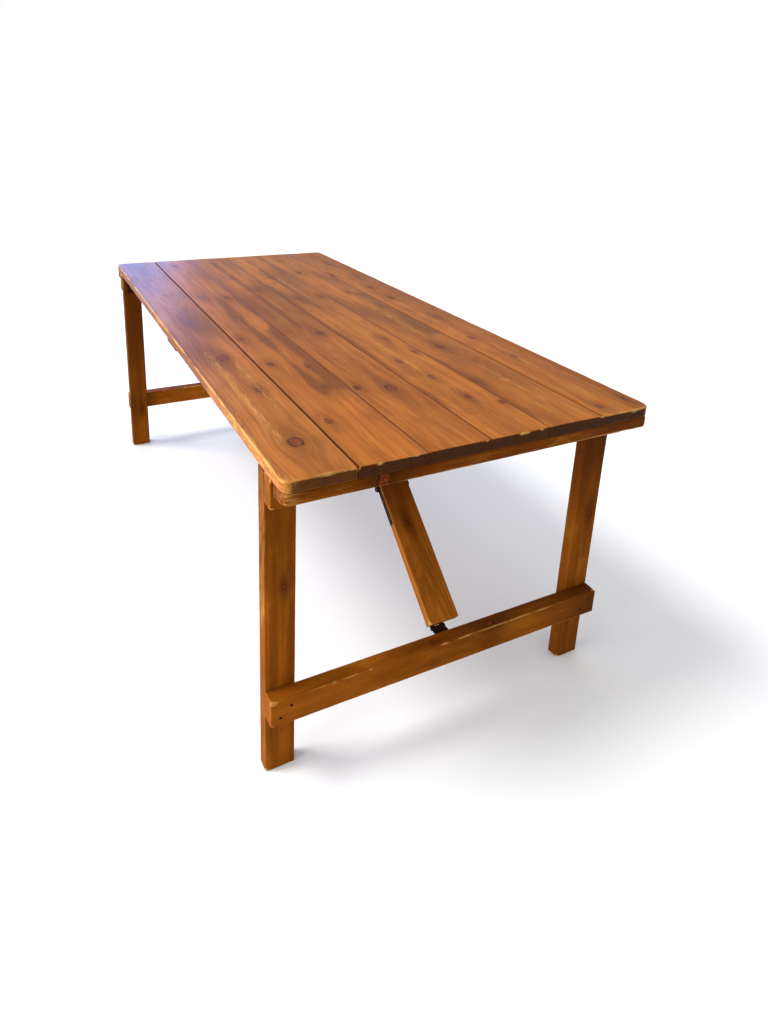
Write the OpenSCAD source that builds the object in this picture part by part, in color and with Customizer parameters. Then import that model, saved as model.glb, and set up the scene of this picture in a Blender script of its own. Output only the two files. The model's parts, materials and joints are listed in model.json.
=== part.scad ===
// Plank-topped folding table.
// Two leg frames hinge inwards under the boards.
// Each frame is held open by a knee brace.
// Units mm, +X along the boards, +Z up.
// The origin is on the floor under the middle of the top.

/* [Table top] */
// Length of the boards
length = 1930; // [1800:10:2100]
// Width over all the boards
width = 900; // [840:10:960]
// Height of the top surface from the floor
height = 760; // [740:5:780]
// Number of boards side by side
board_count = 6; // [6:1:6]
// Thickness of a board
board_thick = 26; // [20:1:30]
// Gap between neighbouring boards
board_gap = 0.8; // [0.4:0.1:2]
// Wider open seam beside the first board
seam_gap = 2.6; // [0.8:0.1:4]
// Small bevel along a board's long edges
board_bevel = 1.0; // [0.5:0.1:2]
// Bevel on the outer edges of the top
edge_bevel = 2.5; // [1:0.5:5]
// Radius of the four corners in plan
corner_radius = 16; // [4:1:20]

/* [Battens] */
// Width of an end batten
end_batten_width = 62; // [50:1:80]
// Thickness of an end batten
end_batten_thick = 25; // [18:1:30]
// Width of the middle batten
mid_batten_width = 120; // [80:5:130]
// Thickness of the middle batten
mid_batten_thick = 20; // [16:1:25]
// Distance of the middle batten from the centre
mid_batten_x = 20; // [0:5:25]
// How far the middle batten stops short of each side
mid_batten_inset = 8; // [0:1:20]

/* [Leg frames] */
// Distance from table end to a leg's outer face
leg_setback = 100; // [90:1:110]
// Thickness of a leg along the table
leg_thick = 33; // [28:1:40]
// Width of a leg across the table
leg_width = 67; // [55:1:80]
// Width over both legs of a frame
frame_width = 887; // [820:1:890]
// Sideways offset of the frames
frame_shift = -6.5; // [-6.5:0.5:6.5]
// Thickness of the rails along the table
rail_thick = 36.5; // [30:0.5:38]
// Height of the top rail
rail_height = 65.5; // [50:0.5:75]
// Height of the stretcher
stretcher_height = 64; // [50:1:75]
// Height of the stretcher's underside from the floor
stretcher_z = 154; // [140:1:170]

/* [Knee brace] */
// Width of the wooden strut across the table
strut_width = 80; // [60:1:90]
// Thickness of the strut
strut_thick = 22; // [20:1:24]
// Depth of the knee pivot in from the strut's rear face
knee_depth = 6; // [5:0.5:7]
// Steel bar height
bar_height = 15; // [12:1:16]
// Steel bar thickness
bar_thick = 5; // [3:0.5:6]
// Length of the steel plates let into the strut's sides
plate_length = 120; // [90:1:150]
// Width of those plates, from the strut's rear face
plate_width = 18; // [14:0.5:18.5]

/* [Hardware] */
// Hinge width along its pin
hinge_width = 37; // [30:1:45]
// Thickness of a hinge leaf
leaf_thick = 2.5; // [2:0.1:3]
// Length of a hinge leaf
leaf_length = 56; // [45:1:60]
// Outer radius of a hinge knuckle
knuckle_r = 4.5; // [4:0.5:5]
// Radius of a hinge pin
hinge_pin_r = 2.5; // [2:0.1:3]
// Radius of the brace pivot bolts
bolt_r = 4; // [3.5:0.1:4.5]

/* [Hidden] */
$fn = 48;
clear = 0.3;
run = 0.05;
board_z = height - board_thick;
board_pitch = width / board_count;
end_x = length / 2;
leg_x = end_x - leg_setback - leg_thick;
rail_x = leg_x + leg_thick;
leg_top = board_z - 0.5;
frame_y0 = frame_shift - frame_width / 2;
frame_y1 = frame_shift + frame_width / 2;
leg_ys = [frame_y0, frame_y1 - leg_width];
leg_mids = [for (y = leg_ys) y + leg_width / 2];
hinge_x = leg_x - 6;
hinge_z = board_z - 6;
strut_pin_x = rail_x - 17;
strut_pin_z = stretcher_z + stretcher_height - 1;
strut_hinge_y = -12;
strut_gap = 6.4;
brace_slope = 39.84;
strut_reach = 355.7;
bar_reach = 397.3;
strut_top = strut_reach + 22;
plate_at = strut_top - plate_length;
bar_in = strut_width / 2 + 0.4;
bar_out = bar_in + bar_thick;
knee_x = strut_pin_x - strut_reach * cos(brace_slope)
       + knee_depth * sin(brace_slope);
knee_z = strut_pin_z + strut_reach * sin(brace_slope)
       + knee_depth * cos(brace_slope);
top_pivot_x = knee_x - bar_reach * cos(brace_slope);
top_pivot_z = knee_z + bar_reach * sin(brace_slope);
cleat_half = 25;
cleat_z = top_pivot_z - 9;
head_r = 4.5;
head_h = 2.5;
shank_r = 2.3;
batten_screw_x = end_x - end_batten_width / 2;
small_head_r = 3.6;
small_head_h = 1.6;
small_shank_r = 1.7;
small_screw = 13;

wood = [0.62, 0.36, 0.17];
wood_dark = [0.50, 0.27, 0.11];
steel = [0.26, 0.20, 0.17];

// ---- shared shapes ----

module far() { mirror([1, 0, 0]) children(); }
module both_ends() { children(); far() children(); }

module bar_y(r, y0, y1) {
  translate([0, y1, 0]) rotate([90, 0, 0]) cylinder(r = r, h = y1 - y0);
}

module plan_outline(z0, h) {
  x = end_x - corner_radius;
  y = width / 2 - corner_radius;
  translate([0, 0, z0]) linear_extrude(h) union() {
    square([2 * end_x, 2 * y], center = true);
    square([2 * x, width], center = true);
    for (sx = [-1, 1], sy = [-1, 1])
      translate([sx * x, sy * y]) circle(r = corner_radius);
  }
}

// A screw standing up from z = 0, its head below.
module screw_up(head, head_t, shank, long) {
  cylinder(r = head, h = head_t);
  cylinder(r = shank, h = long);
}

module batten_screw() screw_up(head_r, head_h, shank_r, 38);
module small_screw_up() {
  screw_up(small_head_r, small_head_h, small_shank_r, small_screw);
}

// The matching hole, larger by the running clearance.
module batten_hole() {
  translate([0, 0, -1]) cylinder(r = head_r + run, h = head_h + 1 + run);
  cylinder(r = shank_r + run, h = 38 + run);
}
module small_hole() {
  translate([0, 0, -9]) cylinder(r = small_head_r + run, h = small_head_h + 9 + run);
  cylinder(r = small_shank_r + run, h = small_screw + run);
}

function board_mid(i) = -width / 2 + board_pitch * (i + 0.5);

// Rows of screws that hold the battens to the boards.
module at_end_batten_screws() {
  for (i = [0 : board_count - 1])
    translate([batten_screw_x + (i % 2 == 0 ? 10 : -10), board_mid(i),
               board_z - end_batten_thick]) children();
}
module at_mid_batten_screws() {
  for (i = [0 : board_count - 1])
    translate([mid_batten_x + (i % 2 == 0 ? 32 : -32), board_mid(i),
               board_z - mid_batten_thick - 5]) children();
}

// ---- table top ----

// Section of a board, with its bevels, in the Y-Z plane.
module board_section(i) {
  y0 = -width / 2 + board_pitch * i + (i == 0 ? 0 : (i == 1 ? seam_gap : board_gap) / 2);
  y1 = -width / 2 + board_pitch * (i + 1)
     - (i == board_count - 1 ? 0 : (i == 0 ? seam_gap : board_gap) / 2);
  a = i == 0 ? edge_bevel : board_bevel;
  b = i == board_count - 1 ? edge_bevel : board_bevel;
  polygon([[y0 + a, board_z], [y1 - b, board_z], [y1, board_z + b], [y1, height - b],
           [y1 - b, height], [y0 + a, height], [y0, height - a], [y0, board_z + a]]);
}

module board(i) {
  color(wood) difference() {
    intersection() {
      rotate([90, 0, 90]) linear_extrude(length, center = true) board_section(i);
      plan_outline(board_z, board_thick);
    }
    both_ends() {
      at_end_batten_screws() batten_hole();
      at_top_leaf_screws() small_hole();
      at_cleat_screws() translate([0, 0, 9]) batten_hole();
    }
    at_mid_batten_screws() batten_hole();
  }
}

module end_batten() {
  color(wood) difference() {
    intersection() {
      plan_outline(board_z - end_batten_thick, end_batten_thick);
      translate([end_x - end_batten_width, -width / 2, board_z - end_batten_thick])
        cube([end_batten_width, width, end_batten_thick]);
    }
    at_end_batten_screws() batten_hole();
  }
}

module mid_batten() {
  y = width / 2 - mid_batten_inset;
  z = board_z - mid_batten_thick;
  b = 8;
  color(wood_dark) difference() {
    translate([mid_batten_x + mid_batten_width / 2, 0, 0]) rotate([90, 0, -90])
      linear_extrude(mid_batten_width)
        polygon([[-y, board_z], [-y, z + b], [-y + b, z],
                 [y - b, z], [y, z + b], [y, board_z]]);
    at_mid_batten_screws() translate([0, 0, 5]) batten_hole();
  }
}

module end_batten_screws() {
  color(steel) both_ends() at_end_batten_screws() batten_screw();
}
module mid_batten_screws() {
  color(steel) at_mid_batten_screws() translate([0, 0, 5])
    screw_up(head_r, head_h, shank_r, 32);
}

// ---- leg frame ----

module at_leg_leaf_screws() {
  for (y = leg_mids, z = [24, 42])
    translate([leg_x - leaf_thick, y + (z == 24 ? 8 : -8), hinge_z - z])
      rotate([0, 90, 0]) children();
}
module at_frame_screws() {
  for (y = leg_mids, k = [0, 1]) {
    translate([rail_x + rail_thick, y + 12 - 24 * k, leg_top - 22 - 24 * k])
      rotate([0, -90, 0]) children();
    translate([rail_x + rail_thick, y - 12 + 24 * k, stretcher_z + 20 + 24 * k])
      rotate([0, -90, 0]) children();
  }
}
module frame_screw() screw_up(head_r, head_h, shank_r, 58);
module frame_hole() {
  translate([0, 0, -1]) cylinder(r = head_r + run, h = head_h + 1 + run);
  cylinder(r = shank_r + run, h = 58 + run);
}

module leg(k) {
  color(wood) difference() {
    translate([leg_x, leg_ys[k], 0]) cube([leg_thick, leg_width, leg_top]);
    at_frame_screws() frame_hole();
    at_leg_leaf_screws() small_hole();
  }
}
module top_rail() {
  color(wood_dark) difference() {
    translate([rail_x, frame_y0, leg_top - rail_height])
      cube([rail_thick, frame_width, rail_height]);
    at_frame_screws() frame_hole();
  }
}
module stretcher() {
  color(wood) difference() {
    translate([rail_x, frame_y0, stretcher_z])
      cube([rail_thick, frame_width, stretcher_height]);
    at_frame_screws() frame_hole();
    at_foot_leaf_screws() small_hole();
  }
}
module frame_screws() { color(steel) at_frame_screws() frame_screw(); }
module frame_hinge_screws() {
  color(steel) {
    at_leg_leaf_screws() small_screw_up();
    at_foot_leaf_screws() small_screw_up();
  }
}

// ---- hinges between the frame and the boards ----

// Knuckle segments along the pin: three, with gaps between them.
module outer_knuckles(w) {
  seg = w / 3;
  for (s = [-1, 1]) bar_y(knuckle_r, s > 0 ? seg / 2 + clear : -w / 2,
                          s > 0 ? w / 2 : -seg / 2 - clear);
}
module middle_knuckle(w) { bar_y(knuckle_r, -w / 6, w / 6); }
module pin_hole(w) { bar_y(hinge_pin_r + run, -w / 2 - 1, w / 2 + 1); }

// Leaf lying under the boards, its knuckles at the two ends of the pin.
module top_leaf(k) {
  w = hinge_width;
  back = knuckle_r + 0.8;
  color(steel) translate([hinge_x, leg_mids[k], hinge_z]) difference() {
    union() {
      outer_knuckles(w);
      translate([-leaf_length - back, -w / 2, 6 - leaf_thick])
        cube([leaf_length, w, leaf_thick]);
      for (s = [-1, 1])
        translate([-back - 1, s > 0 ? w / 6 + clear : -w / 2, 2.4])
          cube([back + 2, w / 3 - clear, 6 - 2.4]);
    }
    pin_hole(w);
    for (s = [0, 1]) translate([-26 - 18 * s, 8 - 16 * s, 6 - leaf_thick]) small_hole();
  }
}

// Leaf on the leg's inner face, its knuckle in the middle of the pin.
module leg_leaf(k) {
  w = hinge_width;
  back = knuckle_r + 0.8;
  color(steel) translate([hinge_x, leg_mids[k], hinge_z]) difference() {
    union() {
      middle_knuckle(w);
      translate([6 - leaf_thick, -w / 2, -leaf_length - back])
        cube([leaf_thick, w, leaf_length]);
      translate([2.4, -w / 6, -back - 1]) cube([6 - 2.4, w / 3, back + 1]);
    }
    pin_hole(w);
    for (z = [24, 42]) translate([6 - leaf_thick, z == 24 ? 8 : -8, -z])
      rotate([0, 90, 0]) small_hole();
  }
}

module hinge_pins() {
  color(steel) both_ends() for (y = leg_mids) translate([hinge_x, y, hinge_z])
    bar_y(hinge_pin_r, -hinge_width / 2, hinge_width / 2);
}

module at_top_leaf_screws() {
  for (y = leg_mids, s = [0, 1])
    translate([hinge_x - 26 - 18 * s, y + 8 - 16 * s, board_z - leaf_thick]) children();
}
module top_leaf_screws() {
  color(steel) both_ends() at_top_leaf_screws() small_screw_up();
}

// ---- knee brace ----

// Local frame of the brace: +X up along it, +Z out of its front face,
// the lower pin at the origin in the plane of the rear face.
module along_brace() {
  translate([strut_pin_x, 0, strut_pin_z])
    rotate([0, 180 + brace_slope, 0]) mirror([0, 0, 1]) children();
}

module at_strut_leaf_screws() {
  for (s = [0, 1]) translate([22 + 20 * s, strut_hinge_y + 8 - 16 * s, -leaf_thick])
    children();
}

module at_plate_screws(sides = [-1, 1]) {
  for (s = sides, u = [14, 64])
    translate([plate_at + u, s * strut_width / 2, plate_width / 2])
      rotate([s * 90, 0, 0]) children();
}

// The wooden strut, from the lower hinge to just past the knee,
// with a rebate down each side for a plate.
module strut() {
  w = strut_width;
  deep = bar_thick + run;
  color(wood) along_brace() difference() {
    translate([strut_gap, -w / 2, 0]) cube([strut_top - strut_gap, w, strut_thick]);
    for (s = [-1, 1])
      translate([plate_at - run, s > 0 ? w / 2 - deep : -w / 2 - 1, -1])
        cube([plate_length + 1, deep + 1, plate_width + 1 + run]);
    translate([strut_reach, 0, knee_depth]) bar_y(bolt_r + run, -w, w);
    at_strut_leaf_screws() small_hole();
    at_plate_screws() small_hole();
  }
}

// A steel plate let in flush, which carries the knee pin's end.
module side_plate(side) {
  color(steel) along_brace() difference() {
    translate([plate_at, side > 0 ? strut_width / 2 - bar_thick : -strut_width / 2, 0])
      cube([plate_length, bar_thick, plate_width]);
    translate([strut_reach, 0, knee_depth]) bar_y(bolt_r + run, -strut_width, strut_width);
    at_plate_screws([side]) small_hole();
  }
}
module knee_pin() {
  color(steel) along_brace() translate([strut_reach, 0, knee_depth])
    bar_y(bolt_r, -strut_width / 2, strut_width / 2);
}

// Strap leaf under the strut's rear face.
module strut_leaf() {
  w = hinge_width;
  back = knuckle_r + 0.8;
  color(steel) along_brace() translate([0, strut_hinge_y, 0]) difference() {
    union() {
      outer_knuckles(w);
      translate([back, -w / 2, -leaf_thick]) cube([leaf_length, w, leaf_thick]);
      for (s = [-1, 1]) translate([0, s > 0 ? w / 6 + clear : -w / 2, -leaf_thick - 0.4])
        cube([back + 1, w / 3 - clear, leaf_thick + 0.2]);
    }
    pin_hole(w);
    for (s = [0, 1]) translate([22 + 20 * s, 8 - 16 * s, -leaf_thick]) small_hole();
  }
}
module strut_screws() {
  color(steel) along_brace() {
    at_strut_leaf_screws() small_screw_up();
    at_plate_screws() small_screw_up();
  }
}

// Cranked leaf on the stretcher's inner face.
module at_foot_leaf_screws() {
  for (s = [0, 1])
    translate([rail_x - leaf_thick, strut_hinge_y + 8 - 16 * s, strut_pin_z - 20 - 18 * s])
      rotate([0, 90, 0]) children();
}
module foot_leaf() {
  w = hinge_width;
  back = knuckle_r + 0.8;
  wall = rail_x - strut_pin_x;
  color(steel) translate([strut_pin_x, strut_hinge_y, strut_pin_z]) difference() {
    union() {
      middle_knuckle(w);
      translate([2.8, -w / 6, -1.5]) cube([wall - 2.8, w / 3, leaf_thick]);
      translate([back, -w / 2, -1.5]) cube([wall - back, w, leaf_thick]);
      translate([wall - leaf_thick, -w / 2, -50])
        cube([leaf_thick, w, 51]);
    }
    pin_hole(w);
    for (s = [0, 1]) translate([wall - leaf_thick, 8 - 16 * s, -20 - 18 * s])
      rotate([0, 90, 0]) small_hole();
  }
}
module strut_hinge_pin() {
  color(steel) translate([strut_pin_x, strut_hinge_y, strut_pin_z])
    bar_y(hinge_pin_r, -hinge_width / 2, hinge_width / 2);
}

// A flat steel bar from the knee to the cleat, outside the strut's plate.
module brace_bar(side) {
  y0 = side < 0 ? -bar_out : bar_in;
  h = bar_height / 2;
  color(steel) along_brace() translate([strut_reach, 0, knee_depth]) difference() {
    union() {
      translate([0, y0, -h]) cube([bar_reach, bar_thick, bar_height]);
      for (x = [0, bar_reach]) translate([x, 0, 0]) bar_y(h, y0, y0 + bar_thick);
    }
    bar_y(bolt_r + run, -bar_out - 1, bar_out + 1);
    translate([bar_reach, 0, 0]) bar_y(bolt_r + run, -bar_out - 1, bar_out + 1);
  }
}
// Rivets through the bars at the knee, heads outside.
module knee_rivets() {
  color(steel) along_brace() translate([strut_reach, 0, knee_depth]) for (s = [0, 1])
    mirror([0, s, 0]) {
      bar_y(bolt_r, bar_in, bar_out + 1);
      bar_y(6.5, bar_out, bar_out + 2.5);
    }
}

// Wooden cleat under the boards and the bolt the bars turn on.
module at_cleat_screws() {
  for (s = [-1, 1]) translate([top_pivot_x + 12 * s, 24 * s, cleat_z]) children();
}
module cleat() {
  w = strut_width;
  color(wood_dark) difference() {
    translate([top_pivot_x - cleat_half, -w / 2, cleat_z])
      cube([2 * cleat_half, w, board_z - cleat_z]);
    translate([top_pivot_x, 0, top_pivot_z]) bar_y(bolt_r + run, -w, w);
    at_cleat_screws() translate([0, 0, 9]) batten_hole();
    at_cleat_screws() cylinder(r = head_r + run, h = 10);
  }
}
module cleat_screws() {
  color(steel) both_ends() at_cleat_screws() translate([0, 0, 9])
    screw_up(head_r, head_h, shank_r, 37);
}
module pivot_bolts() {
  color(steel) both_ends() translate([top_pivot_x, 0, top_pivot_z]) {
    bar_y(bolt_r, -bar_out - 2, bar_out + 2);
    for (s = [0, 1]) mirror([0, s, 0]) bar_y(6.5, bar_out + clear, bar_out + 3.5);
  }
}

board(0);  // board_1
board(1);  // board_2
board(2);  // board_3
board(3);  // board_4
board(4);  // board_5
board(5);  // board_6
end_batten();  // near_end_batten
far() end_batten();  // far_end_batten
mid_batten();
end_batten_screws();
mid_batten_screws();
top_leaf_screws();  // top_hinge_screws
cleat_screws();
top_leaf(0);  // near_left_top_leaf
leg_leaf(0);  // near_left_leg_leaf
top_leaf(1);  // near_right_top_leaf
leg_leaf(1);  // near_right_leg_leaf
far() top_leaf(0);  // far_left_top_leaf
far() leg_leaf(0);  // far_left_leg_leaf
far() top_leaf(1);  // far_right_top_leaf
far() leg_leaf(1);  // far_right_leg_leaf
hinge_pins();  // frame_hinge_pins
leg(0);  // near_left_leg
leg(1);  // near_right_leg
top_rail();  // near_top_rail
stretcher();  // near_stretcher
frame_screws();  // near_frame_screws
frame_hinge_screws();  // near_hinge_screws
foot_leaf();  // near_foot_leaf
strut_hinge_pin();  // near_strut_hinge_pin
strut();  // near_strut
strut_leaf();  // near_strut_leaf
strut_screws();  // near_strut_screws
knee_pin();  // near_knee_pin
side_plate(-1);  // near_left_plate
side_plate(1);  // near_right_plate
brace_bar(-1);  // near_left_bar
brace_bar(1);  // near_right_bar
knee_rivets();  // near_knee_rivets
cleat();  // near_cleat
far() leg(0);  // far_left_leg
far() leg(1);  // far_right_leg
far() top_rail();  // far_top_rail
far() stretcher();  // far_stretcher
far() frame_screws();  // far_frame_screws
far() frame_hinge_screws();  // far_hinge_screws
far() foot_leaf();  // far_foot_leaf
far() strut_hinge_pin();  // far_strut_hinge_pin
far() strut();  // far_strut
far() strut_leaf();  // far_strut_leaf
far() strut_screws();  // far_strut_screws
far() knee_pin();  // far_knee_pin
far() side_plate(-1);  // far_left_plate
far() side_plate(1);  // far_right_plate
far() brace_bar(-1);  // far_left_bar
far() brace_bar(1);  // far_right_bar
far() knee_rivets();  // far_knee_rivets
far() cleat();  // far_cleat
pivot_bolts();
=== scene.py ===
"""Looks of the folding plank table: worn stained pine and rusty steel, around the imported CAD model."""
import json
import math

import bmesh
import bpy
import numpy as np
from mathutils import Matrix, Vector

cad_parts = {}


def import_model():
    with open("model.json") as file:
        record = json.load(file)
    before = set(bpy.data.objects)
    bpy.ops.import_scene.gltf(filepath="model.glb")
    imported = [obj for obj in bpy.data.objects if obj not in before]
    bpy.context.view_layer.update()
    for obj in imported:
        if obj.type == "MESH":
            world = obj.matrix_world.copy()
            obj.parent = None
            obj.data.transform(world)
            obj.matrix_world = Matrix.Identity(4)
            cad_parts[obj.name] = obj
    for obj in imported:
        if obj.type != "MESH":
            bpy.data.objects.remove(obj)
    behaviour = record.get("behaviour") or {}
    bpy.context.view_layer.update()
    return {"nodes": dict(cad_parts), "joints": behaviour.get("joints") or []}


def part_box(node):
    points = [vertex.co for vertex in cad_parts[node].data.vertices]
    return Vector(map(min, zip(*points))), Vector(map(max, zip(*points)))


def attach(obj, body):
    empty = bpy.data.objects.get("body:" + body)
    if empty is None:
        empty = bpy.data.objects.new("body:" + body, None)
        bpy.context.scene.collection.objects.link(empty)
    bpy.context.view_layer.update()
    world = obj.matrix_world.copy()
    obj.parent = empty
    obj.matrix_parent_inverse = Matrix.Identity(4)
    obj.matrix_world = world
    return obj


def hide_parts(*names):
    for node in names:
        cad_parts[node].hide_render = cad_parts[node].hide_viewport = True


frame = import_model()
MM = 0.001

# ---------------------------------------------------------------- small helpers


def linear(code):
    """A colour written as six hex digits, as linear red, green, blue and alpha 1."""
    parts = [int(code[i:i + 2], 16) / 255 for i in (0, 2, 4)]
    return tuple(c / 12.92 if c < 0.04045 else ((c + 0.055) / 1.055) ** 2.4 for c in parts) + (1.0,)


def swell(points, scale, seed, waves=10):
    """Smooth noise of about unit size over an array of points, in metres. scale is its grain."""
    draw = np.random.default_rng(seed)
    total = np.zeros(len(points))
    for _ in range(waves):
        direction = draw.normal(size=3)
        direction /= np.linalg.norm(direction)
        pitch = 2 * math.pi / (scale * draw.uniform(0.8, 2.2))
        total += np.cos(points @ direction * pitch + draw.uniform(0, 2 * math.pi))
    return total / math.sqrt(waves / 2)


def smooth(value, low, high):
    """0 below low, 1 above high, and a smooth step between."""
    t = np.clip((value - low) / (high - low), 0, 1)
    return t * t * (3 - 2 * t)


def band(points, start, stop, across, half):
    """1 on a strip that runs along from start to stop, fading to 0 at its edges and ends."""
    along = points[:, 0]
    fade = np.exp(-((points[:, 1] - across) / half) ** 2)
    rise = smooth(along, start - 0.05, start + 0.03)
    fall = smooth(-along, -stop - 0.05, -stop + 0.03)
    return fade * rise * fall


def joint(name):
    return next(j for j in frame["joints"] if j["name"] == name)


# ---------------------------------------------------------------- shader building


class Shader:
    """A node material. Values that are sockets are linked, others are set."""

    def __init__(self, name):
        self.material = bpy.data.materials.new(name)
        self.material.use_nodes = True
        self.tree = self.material.node_tree
        self.principled = self.tree.nodes["Principled BSDF"]

    def put(self, socket, value):
        if isinstance(value, bpy.types.NodeSocket):
            self.tree.links.new(value, socket)
        else:
            socket.default_value = value

    def math(self, operation, *values):
        node = self.tree.nodes.new("ShaderNodeMath")
        node.operation = operation
        for socket, value in zip(node.inputs, values):
            self.put(socket, value)
        return node.outputs[0]

    def times(self, a, b):
        return self.math("MULTIPLY", a, b)

    def step(self, value, low, high, to_low=0.0, to_high=1.0):
        """A smooth step from to_low to to_high as value goes from low to high."""
        node = self.tree.nodes.new("ShaderNodeMapRange")
        node.interpolation_type = "SMOOTHSTEP"
        for socket, number in zip(node.inputs, (value, low, high, to_low, to_high)):
            self.put(socket, number)
        return node.outputs[0]

    def mix(self, factor, a, b):
        node = self.tree.nodes.new("ShaderNodeMix")
        node.data_type = "RGBA"
        self.put(node.inputs["Factor"], factor)
        self.put(node.inputs[6], a)
        self.put(node.inputs[7], b)
        return node.outputs[2]

    def vector(self, x, y, z):
        node = self.tree.nodes.new("ShaderNodeCombineXYZ")
        for socket, value in zip(node.inputs, (x, y, z)):
            self.put(socket, value)
        return node.outputs[0]

    def scaled(self, place, along, across, through):
        """A place with its three coordinates stretched by different amounts."""
        return self.vector(*(self.times(value, factor)
                             for value, factor in zip(place, (along, across, through))))

    def noise(self, vector, scale=1.0, detail=3.0, roughness=0.5, distortion=0.0):
        node = self.tree.nodes.new("ShaderNodeTexNoise")
        self.put(node.inputs["Vector"], vector)
        node.inputs["Scale"].default_value = scale
        node.inputs["Detail"].default_value = detail
        node.inputs["Roughness"].default_value = roughness
        node.inputs["Distortion"].default_value = distortion
        return node.outputs["Fac"]

    def attribute(self, name):
        node = self.tree.nodes.new("ShaderNodeAttribute")
        node.attribute_name = name
        return node

    def bump(self, height, strength, distance):
        node = self.tree.nodes.new("ShaderNodeBump")
        node.inputs["Strength"].default_value = strength
        node.inputs["Distance"].default_value = distance
        self.put(node.inputs["Height"], height)
        return node.outputs[0]

    def finish(self, colour, roughness, normal, ior=1.5):
        shader = self.principled.inputs
        self.put(shader["Base Color"], colour)
        self.put(shader["Roughness"], roughness)
        self.put(shader["Normal"], normal)
        shader["IOR"].default_value = ior
        return self.material


# ---------------------------------------------------------------- materials

BARE = linear("B88A4C")
FIBRE = linear("A66E22")
GRIME = linear("1E0E05")
HEART = linear("6A3013")
# The pit colours of end grain: soaked stain, darkened further as painted shade.
PIT_DARK = linear("100500")
PIT_LIGHT = linear("341603")
SCALE = linear("1A0F0A")


def pine_colour(s, tones, place, flow, streak):
    """Stained wood before any damage: broad bands, growth rings, fibres and cloudy stain, then the tone,
    which also carries painted shade and painted light.
    """
    light, dark, late = tones
    grain = (place[0], flow, place[2])
    fibre = s.noise(s.scaled(grain, 7, 560, 300), 1.0, 4.0, 0.62)
    bands = s.noise(s.scaled(grain, 1.8, 55, 40), 1.0, 3.0, 0.55)
    wobble = s.noise(s.scaled(grain, 5, 30, 1), 1.0, 3.0)
    ring = s.math("FRACT", s.math("ADD", s.attribute("rings").outputs["Fac"], s.times(wobble, 1.6)))
    late_wood = s.times(s.step(ring, 0.20, 0.88), s.step(ring, 1.0, 0.90))
    colour = s.mix(s.step(bands, 0.30, 0.72), dark, light)
    colour = s.mix(s.times(late_wood, 0.20 * streak), colour, late)
    colour = s.mix(s.step(fibre, 0.50, 0.78, 0.0, 0.40 * streak), colour, late)
    colour = s.mix(s.step(fibre, 0.46, 0.26, 0.0, 0.30 * streak), colour, FIBRE)
    cloud = s.noise(s.scaled(place, 9.0, 22.0, 22.0), 1.0, 5.0, 0.62)
    colour = s.mix(s.step(cloud, 0.46, 0.70, 0.0, 0.34), colour, late)
    colour = s.mix(s.step(cloud, 0.46, 0.28, 0.0, 0.28), colour, FIBRE)
    # The tone darkens towards late wood above 0 and lightens below 0: it holds stain and knot halos, and
    # also painted shade and painted light towards the ends of timbers.
    tone = s.attribute("tone").outputs["Fac"]
    colour = s.mix(s.step(tone, 0.0, 1.0, 0.0, 0.85), colour, late)
    colour = s.mix(s.step(tone, 0.0, -1.0, 0.0, 0.30), colour, light)
    return colour, fibre, late_wood


def paint_knots(s, colour, here, fibre, late):
    """Knots: a red-brown heart, a dark broken rim and a darker halo that runs with the grain."""
    knot = s.attribute("knot").outputs["Fac"]
    inset = s.math("SUBTRACT", knot, s.step(knot, 0.0, 0.3, 0.0, 0.09))
    ragged = s.math("ADD", inset, s.times(s.noise(here, 110.0, 4.0, 0.65), 0.34))
    colour = s.mix(s.step(ragged, 0.20, 0.64, 0.0, 0.42), colour, late)
    hearts = s.step(s.noise(here, 150.0, 3.0, 0.6), 0.36, 0.60, 0.45, 0.90)
    colour = s.mix(s.times(s.step(ragged, 0.56, 0.76), hearts), colour, HEART)
    rim = s.times(s.step(ragged, 0.52, 0.62), s.step(ragged, 0.78, 0.66))
    rim = s.times(rim, s.step(s.noise(here, 95.0, 2.0), 0.40, 0.56, 0.0, 0.85))
    colour = s.mix(rim, colour, GRIME)
    crack = s.times(s.step(ragged, 0.80, 0.92), s.step(fibre, 0.50, 0.62))
    return s.mix(s.times(crack, 0.7), colour, GRIME), rim


def paint_end_grain(s, colour, here):
    """End grain drinks the stain, and is darkened further by painted shade."""
    pits = s.mix(s.step(s.noise(here, 330.0, 3.0, 0.7), 0.38, 0.66), PIT_DARK, PIT_LIGHT)
    return s.mix(s.times(s.attribute("endgrain").outputs["Fac"], 0.92), colour, pits)


def paint_wear(s, colour, place, here):
    """Bare streaks, rubbed arrises, chips and scratches show pale wood, and pores hold dirt."""
    worn, bare = (s.attribute(key).outputs["Fac"] for key in ("wear", "bare"))
    speck = s.noise(here, 210.0, 4.0, 0.7)
    patch = s.noise(s.scaled(place, 14.0, 40.0, 40.0), 1.0, 3.0, 0.6)
    rub = s.times(worn, s.math("ADD", 0.30, s.math("ADD", speck, patch)))
    rub = s.step(rub, 0.45, 1.15, 0.0, 0.80)
    lines = s.noise(s.scaled(place, 30.0, 420.0, 420.0), 1.0, 3.0, 0.6)
    bare_now = s.times(bare, s.step(lines, 0.46, 0.62, 0.0, 0.75))
    scratch = s.noise(s.scaled(place, 9.0, 260.0, 1.0), 1.0, 2.0, 0.5, 0.6)
    scratch = s.times(s.step(scratch, 0.74, 0.80), s.step(patch, 0.50, 0.64, 0.0, 0.30))
    pale = s.math("MAXIMUM", s.math("MAXIMUM", rub, bare_now), scratch)
    pores = s.step(s.noise(here, 90.0, 2.0, 0.5), 0.75, 0.81, 0.0, 0.40)
    return s.mix(pores, s.mix(pale, colour, BARE), GRIME), pale, scratch


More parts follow.
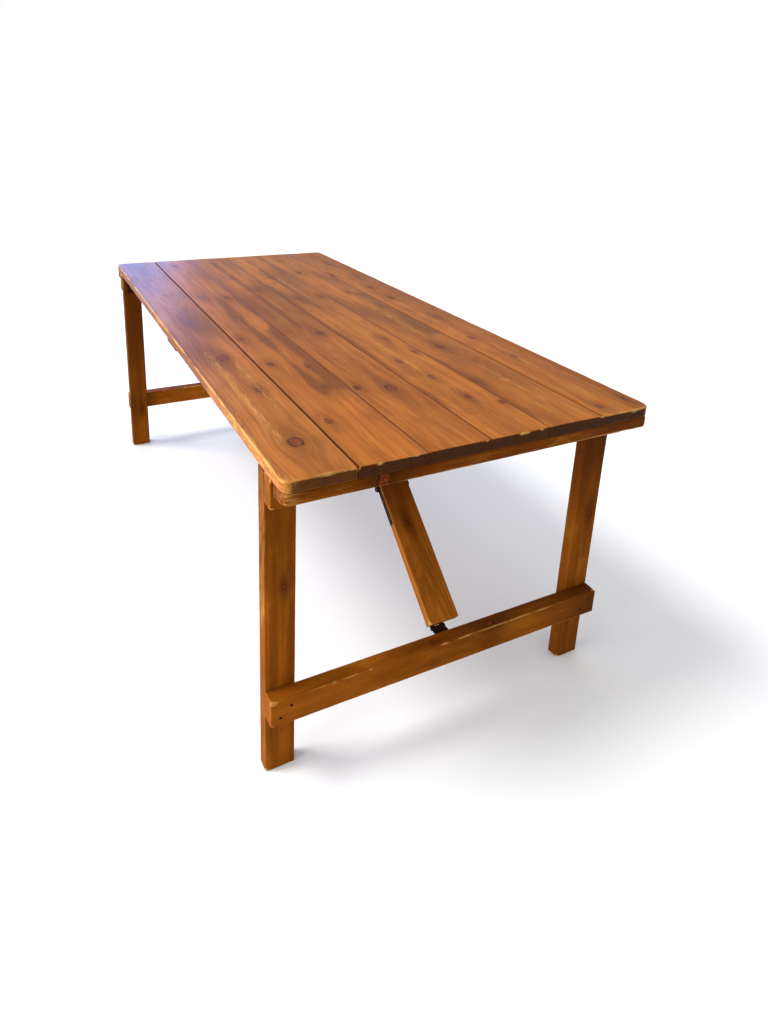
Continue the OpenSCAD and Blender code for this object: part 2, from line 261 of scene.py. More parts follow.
def stained_pine(name, light, dark, late, ior, streak=1.0, polish=0.40):
    """Stained pine that reads the timber() attributes: rings, grain, knots, wear and end grain, and the
    tone with its painted shade and painted light.
    """
    s = Shader(name)
    split = s.tree.nodes.new("ShaderNodeSeparateXYZ")
    s.put(split.inputs[0], s.attribute("place").outputs["Vector"])
    place = list(split.outputs)
    here = s.vector(*place)
    flow = s.attribute("flow").outputs["Fac"]
    tones = [linear(tone) for tone in (light, dark, late)]
    colour, fibre, late_wood = pine_colour(s, tones, place, flow, streak)
    colour, rim = paint_knots(s, colour, here, fibre, tones[2])
    colour = paint_end_grain(s, colour, here)
    colour, pale, scratch = paint_wear(s, colour, place, here)

    fibre_rough = s.step(fibre, 0.3, 0.8, polish - 0.06, polish + 0.12)
    rough = s.math("ADD", fibre_rough, s.times(pale, 0.25))
    height = s.math("SUBTRACT", s.times(late_wood, 0.5), s.times(fibre, 0.8))
    height = s.math("SUBTRACT", height, s.times(scratch, 1.2))
    height = s.math("SUBTRACT", height, s.times(rim, 1.5))
    return s.finish(colour, rough, s.bump(height, 0.35, 0.6 * MM), ior)


def rusty_steel(name, tone, rust, rough_low, shine, ior):
    """Dark steel, browned by rust in patches."""
    s = Shader(name)
    place = s.tree.nodes.new("ShaderNodeTexCoord").outputs["Object"]
    patches = s.noise(place, 42.0, 5.0, 0.65)
    grains = s.noise(place, 420.0, 3.0, 0.7)
    cover = s.step(s.math("ADD", s.times(patches, 0.75), s.times(grains, 0.25)), 0.40, 0.62)
    colour = s.mix(cover, linear(tone), linear(rust))
    colour = s.mix(s.step(grains, 0.62, 0.75, 0.0, 0.6), colour, SCALE)
    rough = s.step(cover, 0.0, 1.0, rough_low, 0.85)
    normal = s.bump(s.math("ADD", grains, s.times(cover, 0.6)), 0.5, 0.4 * MM)
    if shine:
        s.put(s.principled.inputs["Metallic"], s.step(cover, 0.0, 1.0, shine, 0.0))
    return s.finish(colour, rough, normal, ior)


# Light, dark and late-wood stain of each board, left to right.
BOARD_TONES = [
    ("A66228", "8D511D", "62320E"),
    ("A86022", "8D4E18", "60310C"),
    ("A05C20", "874A16", "5C2D0A"),
    ("A66020", "8C4F18", "60310C"),
    ("A25E1E", "884C15", "5E2F0A"),
    ("9E591A", "834713", "5A2C09"),
]
board_pine = [stained_pine("board_pine_%d" % (i + 1), *tones, ior=1.13)
              for i, tones in enumerate(BOARD_TONES)]
# A darker copy of the pine for the battens and cleats under the top: painted shade.
batten_pine_shaded = stained_pine("batten_pine_shaded", "763D08", "5C2C04", "361602", ior=1.07, streak=0.8)
frame_pine = stained_pine("frame_pine", "86490C", "6C3807", "421E04", ior=1.06, streak=0.8, polish=0.5)
brace_pine = stained_pine("brace_pine", "A05E1B", "82480F", "4A2205", ior=1.06, streak=1.3, polish=0.5)
strap_steel = rusty_steel("strap_steel", "1E0C06", "2C0F05", rough_low=0.7, shine=0.0, ior=1.15)
screw_steel = rusty_steel("screw_steel", "2E1C12", "3A1A0C", rough_low=0.6, shine=0.1, ior=1.2)

# ---------------------------------------------------------------- timber

# Distances of the mesh lines that run beside an arris, from it.
EDGE_LINES = np.array([0, 0.5, 1.2, 2.1, 3.2, 4.6, 6.6, 9.4]) * MM
# How uneven an arris is, and the least and most that it is rounded.
RAGGED = 0.3
LEAST_ARRIS, MOST_ARRIS = 0.35 * MM, 9 * MM
RING_WIDTH = 4.2 * MM
# How far the darkening along the inner seams between boards reaches.
SEAM_DARKENING = 1.6 * MM


def lattice(length, spacing):
    """Coordinates along one side of a timber: close lines near both ends, even ones between."""
    near = EDGE_LINES[EDGE_LINES < length * 0.42]
    inner = length - 2 * near[-1]
    count = max(1, round(inner / spacing))
    middle = near[-1] + inner * np.arange(1, count) / count
    return np.concatenate([near, middle, length - near[::-1]]) - length / 2


def box_surface(us, vs, ws):
    """The outside of a lattice block: its points and its quads, faces outward."""
    shape = (len(us), len(vs), len(ws))
    grid = np.stack(np.meshgrid(us, vs, ws, indexing="ij"), axis=-1)
    inside = np.zeros(shape, bool)
    inside[1:-1, 1:-1, 1:-1] = True
    index = np.full(shape, -1)
    index[~inside] = np.arange((~inside).sum())
    quads = []
    for axis in range(3):
        for side, flip in ((0, axis != 1), (-1, axis == 1)):
            sheet = np.take(index, side, axis=axis)
            corners = [sheet[:-1, :-1], sheet[1:, :-1], sheet[1:, 1:], sheet[:-1, 1:]]
            face = np.stack(corners, axis=-1).reshape(-1, 4)
            quads.append(face[:, ::-1] if flip else face)
    return grid[~inside], np.concatenate(quads)


def round_plan(points, half, radius):
    """Moves points near the four upright edges on to a rounded outline.
    Returns them, their distance inwards from the outline and the way inwards."""
    core = np.array([half[0] - radius, half[1] - radius])
    sign = np.where(points[:, :2] < 0, -1.0, 1.0)
    out = np.abs(points[:, :2]) - core
    corner = (out > 0).all(axis=1)
    length = np.linalg.norm(out, axis=1)
    factor = np.where(corner, out.max(axis=1) / np.maximum(length, 1e-9), 1.0)
    moved = points.copy()
    moved[corner, :2] = sign[corner] * (core + out[corner] * factor[corner, None])
    out = np.abs(moved[:, :2]) - core
    beyond = np.linalg.norm(np.maximum(out, 0), axis=1)
    depth = radius - np.where(corner, beyond, out.max(axis=1))
    side = (out[:, 0] > out[:, 1])
    straight = np.stack([side, ~side], axis=1).astype(float)
    radial = np.maximum(out, 0) / np.maximum(beyond, 1e-9)[:, None]
    inward = -sign * np.where(corner[:, None], radial, straight)
    return moved, depth, inward


def round_both_sides(flat, size, radii):
    """round_plan() with one corner radius on the low side of a timber and one on the high side."""
    points = flat.copy()
    depth = np.empty(len(flat))
    inward = np.empty((len(flat), 2))
    for sign, radius in zip((-1, 1), radii):
        part = (flat[:, 1] * sign > 0) | ((flat[:, 1] == 0) & (sign > 0))
        points[part], depth[part], inward[part] = round_plan(
            flat[part], (size[0] / 2, size[1] / 2), radius * MM)
    return points, depth, inward


def arris_radii(flat, spot, face, arris, chips, wear, draw, seed):
    """How far each point's arris is rounded, and how broken it is there."""
    waves = 0.30 * swell(spot, 0.09, seed + face) + 0.22 * swell(spot, 0.022, seed + 5 + face)
    radius = arris * MM * (1 + RAGGED * waves)
    bite = smooth(swell(spot, 0.030, seed + 11 + face), 1.5, 2.4) * wear
    radius += RAGGED * bite * draw.uniform(1.2, 2.0) * MM
    broken = bite * RAGGED
    for along, across, on_face, reach, deep in chips:
        if on_face != face:
            continue
        gap = np.hypot((flat[:, 0] - along) / reach[0], (flat[:, 1] - across) / reach[1])
        hit = 1 - smooth(gap, 0.35, 1.0)
        radius += deep * hit
        broken = np.maximum(broken, 0.72 * smooth(hit, 0.45, 1.0))
    return radius, broken


def soften_arrises(shape, size, arris, chips, rub, lips, draw, seed, shift):
    """Rounds the arrises between each broad face and the sides, more where they are worn.
    It moves the points, and returns how worn each of them is."""
    flat, points, depth, inward = shape
    length, width, thick = size
    worn = np.zeros(len(flat))
    to_end = length / 2 - np.abs(flat[:, 0])
    to_low, to_high = width / 2 + flat[:, 1], width / 2 - flat[:, 1]
    use = np.array(rub)[np.argmin([to_end, to_low, to_high], axis=0)]
    for face in (-1, 1):
        level = thick / 2 - face * flat[:, 2]
        near = (level < thick * 0.45) & (depth < 12 * MM)
        spot = flat[near] + shift
        wear = use * lips[(face + 1) // 2]
        radius, broken = arris_radii(flat[near], spot, face, arris, chips, wear[near], draw, seed)
        radius = np.clip(radius, LEAST_ARRIS, min(MOST_ARRIS, thick * 0.42))
        pair = np.stack([depth[near], level[near]], axis=1)
        core = np.maximum(pair, radius[:, None])
        arm = pair - core
        reach = np.linalg.norm(arm, axis=1)
        live = reach > 1e-9
        change = core[live] + arm[live] / reach[live, None] * radius[live, None] - pair[live]
        rows = np.flatnonzero(near)[live]
        points[rows, :2] += inward[rows] * change[:, :1]
        points[rows, 2] -= face * change[:, 1]
        line = smooth(1.25 * radius[live] - pair[live].max(axis=1), 0.0, 0.8 * MM)
        patches = (swell(spot[live], 0.19, seed + 21 + face)
                   + 0.5 * swell(spot[live], 0.05, seed + 25 + face))
        rubbed = wear[rows] * (0.5 + 0.5 * smooth(patches, -1.4, 1.6))
        worn[rows] = np.maximum(worn[rows], line * np.maximum(rubbed, broken[live]))
    return worn


def grain(flat, width, knots, draw, seed, shift):
    """The annual rings of a trunk whose pith runs beside the timber, parted by the knots.
    Returns the rings, the grain's place across, the knots and their dark halo."""
    flow = flat[:, 1].copy()
    knot = np.zeros(len(flat))
    halo = np.zeros(len(flat))
    for along, across, radius in knots:
        du = (flat[:, 0] - along) / 1.9
        dv = flat[:, 1] - across
        spread = np.hypot(du, dv)
        flow -= dv * np.clip((1.55 * radius) ** 2 / np.maximum(spread, radius * 1.2) ** 2, 0, 0.93)
        rough_edge = 1 + 0.10 * swell(flat + shift, 0.02, seed + 31)
        reach = np.hypot(du * 1.2, dv) / (1.45 * radius * rough_edge)
        knot = np.maximum(knot, np.clip(1.10 - reach, 0, 1))
        halo += np.exp(-(np.hypot(du / 1.6, dv) / (2.0 * radius)) ** 2)
    pith_across = draw.uniform(-0.3, 0.3) * width
    pith_depth, pith_lean = draw.uniform(0.05, 0.11), draw.uniform(-0.03, 0.03)
    drift = 0.012 * swell(flat * [0.35, 0, 0] + shift, 0.35, seed + 41)
    depth_to_pith = flat[:, 2] + pith_depth + pith_lean * flat[:, 0] + drift
    rings = np.hypot(flow - pith_across, depth_to_pith) / RING_WIDTH
    return rings, flow, knot, np.minimum(halo, 1)


def stain_and_shade_tone(flat, size, halo, rub, shade, bands, seed, shift):
    """How much darker (above 0) or lighter (below 0) each point is: stain, knot halos and stain bands,
    painted shade and painted light towards the ends, and a darkening along the inner seams.
    """
    tone = 0.16 * swell(flat * [0.25, 1, 1] + shift, 0.10, seed + 51)
    tone += 0.5 * halo + shade[0] + (shade[1] - shade[0]) * (flat[:, 0] / size[0] + 0.5) ** 2
    for start, stop, across, half in bands:
        cloudy = 0.75 + 0.3 * swell(flat + shift, 0.15, seed + 61)
        tone += band(flat, start, stop, across, half) * cloudy
    to_low, to_high = size[1] / 2 + flat[:, 1], size[1] / 2 - flat[:, 1]
    seam = np.minimum(np.where(rub[1] == 0, to_low, 1), np.where(rub[2] == 0, to_high, 1))
    return tone + 1.1 * np.exp(-(seam / SEAM_DARKENING) ** 2)


def as_piece(name, points, quads, material, values, place):
    """A mesh object of its own, carrying values for its material at each point."""
    mesh = bpy.data.meshes.new(name)
    mesh.from_pydata(points.tolist(), [], quads.tolist())
    mesh.shade_smooth()
    mesh.materials.append(material)
    for key, column in values.items():
        mesh.attributes.new(key, "FLOAT", "POINT").data.foreach_set("value", column)
    place = place.astype(np.float32).ravel()
    mesh.attributes.new("place", "FLOAT_VECTOR", "POINT").data.foreach_set("vector", place)
    piece = bpy.data.objects.new(name, mesh)
    bpy.context.collection.objects.link(piece)
    return piece


def timber(name, centre, axes, size, material, seed, arris=1.6, spacing=(8, 6, 6), plan_radii=(2, 2),
           knots=(), chips=(), rub=(0.6, 0.6, 0.6), lips=(1, 1), cup=0.0, bands=(), streaks=(),
           shade=(0, 0), soak=0.25, lines=((), ()), carve=None):
    """A sawn timber with softened, worn arrises, as a mesh in the row frame.

    axes are its length, width and thickness directions. arris and plan_radii round its edges, in
    mm. knots are (along, across, radius), chips are (along, across, face, reach, depth), bands and
    streaks are (from, to, across, half width), in metres from its centre. rub is how worn its
    ends, its low side and its high side are, lips how worn its lower and upper arrises are, shade
    how much painted shade darkens its two ends (painted light where it is below 0), and
    soak how dark its end grain is, from soaked stain and painted shade. cup is how far
    its upper face bows, in mm. lines are more mesh lines along it and through it, for carve() to shape.
    It carries what stained_pine() reads as attributes."""
    length, width, thick = size
    us = np.union1d(lattice(length, spacing[0] * MM), lines[0])
    vs = lattice(width, spacing[1] * MM)
    ws = np.union1d(lattice(thick, spacing[2] * MM), lines[1])
    flat, quads = box_surface(us, vs, ws)
    draw = np.random.default_rng(seed)
    shift = draw.uniform(-40, 40, 3)

    points, depth, inward = round_both_sides(flat, size, plan_radii)
    shape = (flat, points, depth, inward)
    worn = soften_arrises(shape, size, arris, chips, rub, lips, draw, seed, shift)
    if cup:
        bow = (flat[:, 1] / (width / 2)) ** 2
        sunk = abs(cup) * (bow if cup < 0 else 1 - bow)
        points[:, 2] -= np.where(flat[:, 2] > 0, sunk, 0) * MM
    if carve:
        carve(points, flat)

    rings, flow, knot, halo = grain(flat, width, knots, draw, seed, shift)
    to_end = np.maximum(length / 2 - np.abs(points[:, 0]), 0)
    bare = np.zeros(len(flat))
    for start, stop, across, half in streaks:
        bare = np.maximum(bare, band(flat, start, stop, across, half))
    values = {
        "rings": rings,
        "flow": flow + shift[1] * 0.01,
        "knot": knot,
        "wear": worn,
        "endgrain": soak * np.exp(-to_end / (0.9 * MM)),
        "bare": bare,
        "tone": stain_and_shade_tone(flat, size, halo, rub, shade, bands, seed, shift),
    }
    world = points @ np.array(axes) + np.array(centre)
    return as_piece(name, world, quads, material, values, flat + shift)


ALONG_X = ((1, 0, 0), (0, 1, 0), (0, 0, 1))
ALONG_Y = ((0, 1, 0), (-1, 0, 0), (0, 0, 1))
UPRIGHT = ((0, 0, 1), (0, 1, 0), (-1, 0, 0))


def timber_in(node, axes, material, seed, body, slot, **details):
    """A timber that fills a CAD node's box and stands for it."""
    low, high = (np.array(corner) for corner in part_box(node))
    size = np.abs(np.array(axes)) @ (high - low)
    piece = timber(node + "_wood", (low + high) / 2, axes, size, material, seed, **details)
    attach(piece, body)
    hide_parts(node)


def random_knots(seed, count, size):
    draw = np.random.default_rng(seed)
    return [(draw.uniform(-0.46, 0.46) * size[0], draw.uniform(-0.4, 0.4) * size[1],
             draw.uniform(0.005, 0.009)) for _ in range(count)]


# ---------------------------------------------------------------- table top

# Knots of each board: place along the table, place across it, radius, in metres.
KNOTS = [
    [(-0.045, -0.375, 0.010), (0.300, -0.365, 0.017), (0.545, -0.350, 0.010), (0.825, -0.370, 0.017)],
    [(-0.860, -0.235, 0.009), (-0.315, -0.265, 0.010), (-0.295, -0.185, 0.007), (-0.055, -0.225, 0.010),
     (0.165, -0.275, 0.008), (0.195, -0.210, 0.009), (0.390, -0.265, 0.009), (0.440, -0.185, 0.005),
     (0.580, -0.200, 0.010), (0.760, -0.270, 0.010)],
    [(-0.385, -0.045, 0.010), (0.190, -0.040, 0.016), (0.615, -0.130, 0.010), (0.645, -0.055, 0.014)],
    [(-0.835, 0.075, 0.008), (-0.540, 0.060, 0.009), (-0.200, 0.045, 0.010), (-0.200, 0.130, 0.008),
     (0.280, 0.005, 0.005), (0.300, 0.110, 0.009), (0.435, 0.135, 0.007), (0.490, 0.055, 0.010),
     (0.620, 0.075, 0.010), (0.760, 0.085, 0.009), (0.815, 0.140, 0.008)],
    [(-0.815, 0.205, 0.008), (-0.585, 0.200, 0.009), (-0.225, 0.250, 0.010), (-0.030, 0.275, 0.008),
     (0.420, 0.225, 0.010), (0.680, 0.165, 0.009)],
    [(-0.695, 0.380, 0.009), (-0.495, 0.310, 0.008), (-0.445, 0.395, 0.009), (-0.270, 0.360, 0.009),
     (-0.105, 0.360, 0.009), (0.160, 0.380, 0.010), (0.385, 0.360, 0.010), (0.565, 0.370, 0.009),
     (0.920, 0.335, 0.008), (0.910, 0.425, 0.007)],
]
# Darker bands and bare streaks in the stain: from, to, place across the table, half width.
# The last band and the last two streaks lie on the left edge of the top.
BANDS = [(-0.43, 0.25, -0.152, 0.012), (0.30, 0.90, -0.150, 0.006), (-0.50, 0.80, 0.002, 0.010),
         (-0.90, -0.60, 0.148, 0.014), (-0.20, 0.30, 0.290, 0.030), (-0.95, -0.55, -0.080, 0.010),
         (-0.30, 0.60, -0.215, 0.010), (-0.60, 0.10, -0.075, 0.006), (0.10, 0.60, -0.165, 0.020),
         (-0.70, -0.10, 0.070, 0.006), (-0.20, 0.90, 0.155, 0.006), (-0.96, 0.45, -0.4495, 0.006)]
STREAKS = [(0.30, 0.58, 0.071, 0.005), (-0.50, -0.20, 0.079, 0.004), (-0.18, 0.02, 0.237, 0.005),
           (0.08, 0.32, 0.238, 0.006), (0.62, 0.84, 0.237, 0.005), (0.56, 0.65, 0.373, 0.004),
           (0.79, 0.85, 0.373, 0.006), (0.47, 0.49, 0.160, 0.004), (0.25, 0.80, -0.395, 0.008),
           (0.35, 0.70, -0.345, 0.004), (0.60, 1.00, -0.4495, 0.009), (0.95, 1.00, -0.440, 0.012)]
# Broken places on the near end: place across the table, half width, depth.
END_CHIPS = [(-0.255, 0.010, 0.0028), (-0.300, 0.006, 0.0030), (-0.012, 0.005, 0.0026),
             (0.085, 0.026, 0.0024), (0.130, 0.009, 0.0026), (0.300, 0.008, 0.0020),
             (0.395, 0.010, 0.0024), (-0.175, 0.006, 0.0020)]
CHIP_REACH = 6 * MM
OUTER_ARRIS, INNER_ARRIS, BATTEN_ARRIS = 3.6, 1.6, 4.5


def inside_board(items, middle, half):
    return [(a, b, y - middle, w) for a, b, y, w in items if abs(y - middle) < half + MM]


def build_board(i, knots):
    node = "board_%d" % (i + 1)
    low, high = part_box(node)
    middle, half = (low[1] + high[1]) / 2, (high[1] - low[1]) / 2
    first, last = i == 0, i == len(KNOTS) - 1
    # Painted shade: each board darkens towards its far end, and at its near end more on the boards
    # further right.
    timber_in(node, ALONG_X, board_pine[i], 100 + i, "top", "board_wood",
              arris=OUTER_ARRIS if first or last else INNER_ARRIS, spacing=(7, 5, 5),
              plan_radii=(20.0 if first else 1.0, 22.0 if last else 1.0),
              knots=[(x, y - middle, r) for x, y, r in knots],
              chips=[(high[0], y - middle, 1, (CHIP_REACH, wide), deep)
                     for y, wide, deep in END_CHIPS if abs(y - middle) < half + wide],
              rub=(0.65, 1.0 if first else 0.0, 0.9 if last else 0.0), lips=(0.4, 1),
              cup=(-0.5, 0.4)[i % 2], bands=inside_board(BANDS, middle, half),
              streaks=inside_board(STREAKS, middle, half),
              shade=(0.50 if first else 0.42, 0.03 * i), soak=0.88 if first else 1.0)


def build_top():
    for i, knots in enumerate(KNOTS):
        build_board(i, knots)
    # The end battens are also darkened towards their right ends by painted shade.
    for k, node in enumerate(("near_end_batten", "far_end_batten")):
        timber_in(node, ALONG_Y, batten_pine_shaded, 120 + k, "top", "batten_wood", arris=BATTEN_ARRIS,
                  plan_radii=(20, 20), knots=[(-0.2445, -0.031, 0.009), (0.21, -0.01, 0.007)],
                  streaks=[(-0.45, -0.435, -0.031, 0.022)], shade=(0.2 - 0.1 * k, 0.5), lips=(1, 0))
    timber_in("mid_batten", ALONG_Y, batten_pine_shaded, 130, "top", "batten_wood", arris=2.5,
              plan_radii=(8, 8), knots=[(0.1, 0.02, 0.009)])


# ---------------------------------------------------------------- leg frames and braces

# Knocked corners and dents: along, across, face, reach, depth, from a timber's centre.
RAIL_CHIPS = [(-0.4435, -0.018, 1, (0.022, 0.012), 0.0035), (-0.4435, -0.018, -1, (0.012, 0.010), 0.003),
              (0.4435, -0.012, 1, (0.030, 0.010), 0.003), (0.4435, 0.018, -1, (0.012, 0.012), 0.003),
              (-0.30, -0.018, 1, (0.012, 0.007), 0.0014), (-0.21, -0.018, 1, (0.009, 0.006), 0.0016),
              (-0.02, -0.018, 1, (0.016, 0.007), 0.0014), (0.17, -0.018, 1, (0.010, 0.006), 0.0012)]
LEG_CHIPS = [(-0.3667, -0.033, -1, (0.016, 0.012), 0.003), (-0.3667, 0.020, -1, (0.007, 0.020), 0.002),
             (-0.3667, 0.033, 1, (0.014, 0.012), 0.003), (-0.3667, -0.010, 1, (0.006, 0.016), 0.002)]
# Pale streaks on the upper left face of the left legs: painted light on the lit side, against the
# painted shade at the top of the legs.
LEFT_LEG_PAINTED_LIGHT = (0.02, 0.36, -0.0395, 0.006)


def build_frame(end, seed):
    body = end + "_frame"
    for k, side in enumerate(("left", "right")):
        # Painted shade: the legs darken towards the top under the table, and every leg but the near left
        # one is darker all over.
        dark = 0.0 if (end, side) == ("near", "left") else 0.60
        timber_in("%s_%s_leg" % (end, side), UPRIGHT, frame_pine, seed + k, body, "frame_wood",
                  arris=2.0, knots=random_knots(seed + k, 2, (0.73, 0.067)), chips=LEG_CHIPS,
                  rub=(0.3, 0.35, 0.35), streaks=[LEFT_LEG_PAINTED_LIGHT] if side == "left" else (),
                  shade=(dark * 0.8, dark + 0.75))
    # Painted light at the left ends of the rails and the stretchers, and painted shade towards their
    # right ends.
    for k, node in enumerate(("top_rail", "stretcher")):
        timber_in("%s_%s" % (end, node), ALONG_Y, frame_pine, seed + 10 + k, body, "frame_wood",
                  arris=2.4, knots=random_knots(seed + 10 + k, 2, (0.88, 0.036)), chips=RAIL_CHIPS,
                  rub=(0.9, 0.7, 0.7), shade=(-0.35, 1.05), soak=0.1)


# The strut lies along the brace, from just above its hinge to just past the knee.
BRACE_SLOPE = math.radians(39.84)
STRUT_FROM, STRUT_TO = 0.0064, 0.3777
STRUT_SIZE = (STRUT_TO - STRUT_FROM, 0.080, 0.022)
# The rebates that hold the two steel plates, a hair larger than the plates.
PLATE_LENGTH, PLATE_WIDTH, PLATE_DEPTH = 0.120, 0.01805, 0.00505
STRUT_CHIP = (-STRUT_SIZE[0] / 2, 0.040, 1, (0.012, 0.014), 0.004)


def build_brace(end, seed):
    way = 1 if end == "near" else -1
    up = np.array([-way * math.cos(BRACE_SLOPE), 0, math.sin(BRACE_SLOPE)])
    out = np.array([way * math.sin(BRACE_SLOPE), 0, math.cos(BRACE_SLOPE)])
    across = np.cross(out, up)
    pin = np.array(joint(end + "_strut_fold")["pos_m"]) * [1, 0, 1]
    centre = pin + up * (STRUT_FROM + STRUT_TO) / 2 + out * STRUT_SIZE[2] / 2
    shoulder = STRUT_SIZE[0] / 2 - PLATE_LENGTH
    ledge = PLATE_WIDTH - STRUT_SIZE[2] / 2

    def rebate(points, flat):
        """Lets the two plates in from the sides and the rear face."""
        inner = STRUT_SIZE[1] / 2 - PLATE_DEPTH
        part = (flat[:, 0] >= shoulder - 1e-6) & (flat[:, 2] <= ledge + 1e-6)
        part &= np.abs(points[:, 1]) > inner
        points[part, 1] = np.sign(points[part, 1]) * inner

    # Painted shade darkens the strut towards its top under the table, and painted light lightens its
    # lower end.
    strut = timber(end + "_strut_wood", centre, (up, across, out), STRUT_SIZE, brace_pine, seed,
                   arris=1.2, knots=random_knots(seed, 1, STRUT_SIZE), chips=[STRUT_CHIP],
                   rub=(0.6, 0.9, 0.9), shade=(-0.2, 0.75), carve=rebate,
                   lines=((shoulder - 1e-4, shoulder), (ledge, ledge + 1e-4)))
    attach(strut, end + "_strut_body")
    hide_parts(end + "_strut")
    timber_in(end + "_cleat", ALONG_Y, batten_pine_shaded, seed + 1, "top", "batten_wood", arris=2.0)


build_top()
for place, end in enumerate(("near", "far")):
    build_frame(end, 200 + 50 * place)
    build_brace(end, 300 + 50 * place)

# ---------------------------------------------------------------- hardware

HEAD_RADIUS, HEAD_RISE, HEAD_SEAT = 3.6 * MM, 0.5 * MM, 1.2 * MM
HEAD_SEGMENTS = 32
STEEL_BEVEL = 0.5 * MM


def islands(node):
    """Lowest and highest corners of each separate solid in a CAD node."""
    work = bmesh.new()
    work.from_mesh(frame["nodes"][node].data)
    left = set(work.verts)
    found = []
    while left:
        group, queue = [], [left.pop()]
        while queue:
            vert = queue.pop()
            group.append(vert.co.copy())
            for edge in vert.link_edges:
                other = edge.other_vert(vert)
                if other in left:
                    left.remove(other)
                    queue.append(other)
        found.append((np.min(group, axis=0), np.max(group, axis=0)))
    work.free()
    return found


def in_place_order(corners):
    """Sorts solids by their low corner to the millimetre, and ties by their exact corners."""
    low, high = corners
    return (*low.round(3), *low, *high)


def tapered_disc(work, low_radius, high_radius, bottom, height):
    """The points of a round disc added to work, standing on the height bottom."""
    middle = Matrix.Translation((0, 0, bottom + height / 2))
    made = bmesh.ops.create_cone(work, cap_ends=True, cap_tris=False, segments=HEAD_SEGMENTS,
                                 radius1=low_radius, radius2=high_radius, depth=height,
                                 matrix=middle)
    return made["verts"]


def screw_heads(node, body, outward):
    """Screw heads with a sloping rim where the CAD screws of a node end, facing outward."""
    outward = Vector(outward)
    turn = outward.to_track_quat("Z", "Y").to_matrix().to_4x4()
    axis = int(np.argmax(np.abs(outward)))
    work = bmesh.new()
    draw = np.random.default_rng(len(node))
    for low, high in sorted(islands(node), key=in_place_order):
        head = Vector((low + high) / 2)
        head[axis] = high[axis] if outward[axis] > 0 else low[axis]
        crown = tapered_disc(work, HEAD_RADIUS, HEAD_RADIUS * 0.62, 0, HEAD_RISE)
        base = tapered_disc(work, HEAD_RADIUS, HEAD_RADIUS, -HEAD_SEAT, HEAD_SEAT)
        spin = Matrix.Rotation(draw.uniform(0, math.pi), 4, "Z")
        seat = Matrix.Translation(head) @ turn @ spin
        bmesh.ops.transform(work, matrix=seat, verts=crown + base)
    mesh = bpy.data.meshes.new(node + "_heads")
    work.to_mesh(mesh)
    work.free()
    mesh.materials.append(screw_steel)
    piece = bpy.data.objects.new(node + "_heads", mesh)
    bpy.context.collection.objects.link(piece)
    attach(piece, body)
    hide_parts(node)


def finish_steel():
    """Gives the CAD's steel nodes their materials and a fine bevel."""
    for name, obj in frame["nodes"].items():
        fastener = name.endswith(("screws", "rivets", "bolts"))
        strap = any(word in name for word in ("leaf", "plate", "pin")) or "bar" in name.split("_")
        if not (fastener or strap):
            continue
        obj.data.materials.clear()
        obj.data.materials.append(screw_steel if fastener else strap_steel)
        soften = obj.modifiers.new("soften", "BEVEL")
        soften.width = STEEL_BEVEL
        soften.segments = 2
        soften.limit_method = "ANGLE"


screw_heads("near_frame_screws", "near_frame", (1, 0, 0))
screw_heads("far_frame_screws", "far_frame", (-1, 0, 0))
for name in ("end_batten_screws", "mid_batten_screws", "cleat_screws"):
    screw_heads(name, "top", (0, 0, -1))
finish_steel()

# ---------------------------------------------------------------- stage, lights, camera

FLOOR_REACH = 30.0
FLOOR_GREYS = ((0.665, 0.665, 0.665, 1), (0.68, 0.68, 0.68, 1))
CAMERA_PLACE = (1.984, -0.830, 1.378)
CAMERA_YAW, CAMERA_PITCH, CAMERA_ROLL = 0.4684, -0.2960, 0.0343
CAMERA_LENS, CAMERA_SHIFT = 24.51, (0.0264, -0.1803)


def stage():
    mesh = bpy.data.meshes.new("floor")
    corners = [(x * FLOOR_REACH, y * FLOOR_REACH, 0) for x, y in ((-1, -1), (1, -1), (1, 1), (-1, 1))]
    mesh.from_pydata(corners, [], [(0, 1, 2, 3)])
    s = Shader("floor_white")
    place = s.tree.nodes.new("ShaderNodeTexCoord").outputs["Object"]
    haze = s.noise(place, 0.6, 2.0)
    s.finish(s.mix(haze, *FLOOR_GREYS), 0.9, s.bump(haze, 0.02, MM))
    mesh.materials.append(s.material)
    floor = bpy.data.objects.new("floor", mesh)
    bpy.context.collection.objects.link(floor)


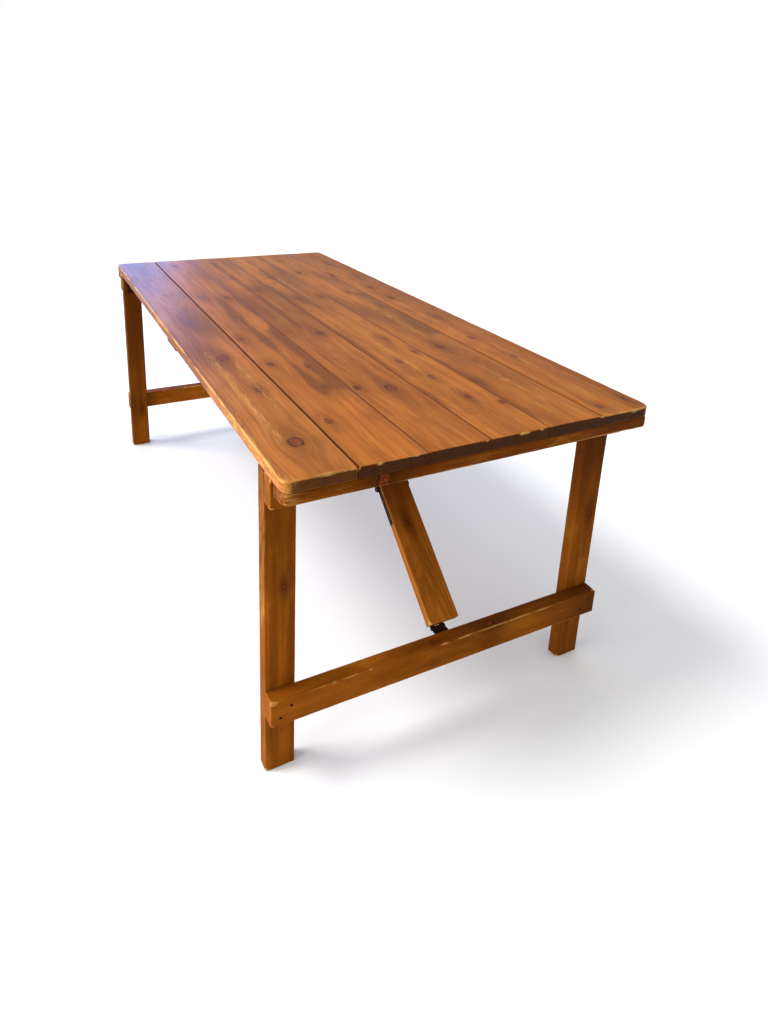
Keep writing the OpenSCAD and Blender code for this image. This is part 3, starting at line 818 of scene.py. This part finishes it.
def area_light(name, place, target, size, power, colour=(1, 1, 1)):
    data = bpy.data.lights.new(name, "AREA")
    data.shape = "RECTANGLE"
    data.size, data.size_y = size
    data.energy = power
    data.color = colour
    light = bpy.data.objects.new(name, data)
    light.location = place
    light.rotation_euler = (Vector(target) - Vector(place)).to_track_quat("-Z", "Y").to_euler()
    bpy.context.collection.objects.link(light)


def sun(toward, power, spread):
    data = bpy.data.lights.new("sun", "SUN")
    data.energy = power
    data.angle = math.radians(spread)
    light = bpy.data.objects.new("sun", data)
    light.rotation_euler = Vector(toward).to_track_quat("Z", "Y").to_euler()
    bpy.context.collection.objects.link(light)


def world(strength):
    made = bpy.data.worlds.new("studio")
    made.use_nodes = True
    back = made.node_tree.nodes["Background"]
    back.inputs["Color"].default_value = (1.0, 1.0, 1.0, 1)
    back.inputs["Strength"].default_value = strength
    bpy.context.scene.world = made


def camera():
    """A camera that looks from the near end, turned by yaw, pitch and roll, all in radians."""
    level = math.cos(CAMERA_PITCH)
    forward = Vector((-math.cos(CAMERA_YAW) * level, math.sin(CAMERA_YAW) * level,
                      math.sin(CAMERA_PITCH)))
    right = forward.cross(Vector((0, 0, 1))).normalized()
    above = right.cross(forward)
    side = right * math.cos(CAMERA_ROLL) + above * math.sin(CAMERA_ROLL)
    top = above * math.cos(CAMERA_ROLL) - right * math.sin(CAMERA_ROLL)
    data = bpy.data.cameras.new("camera")
    data.lens = CAMERA_LENS
    data.sensor_width = 36
    data.shift_x, data.shift_y = CAMERA_SHIFT
    data.dof.use_dof = False
    eye = bpy.data.objects.new("camera", data)
    turn = Matrix((side, top, -forward)).transposed().to_4x4()
    eye.matrix_world = Matrix.Translation(CAMERA_PLACE) @ turn
    bpy.context.collection.objects.link(eye)
    bpy.context.scene.camera = eye


stage()
camera()
world(strength=1.0)
sun(toward=(-0.2, -0.5, 0.75), power=2.45, spread=20)
area_light("low_left", place=(0.9, -3.4, 0.8), target=(0.6, 0, 0.4), size=(2.4, 1.2), power=130)
area_light("window", place=(-4.2, -0.5, 1.6), target=(-0.9, -0.3, 0.76), size=(2.0, 1.5), power=95,
           colour=(0.10, 0.36, 1.0))
bpy.context.scene.view_settings.view_transform = "Standard"
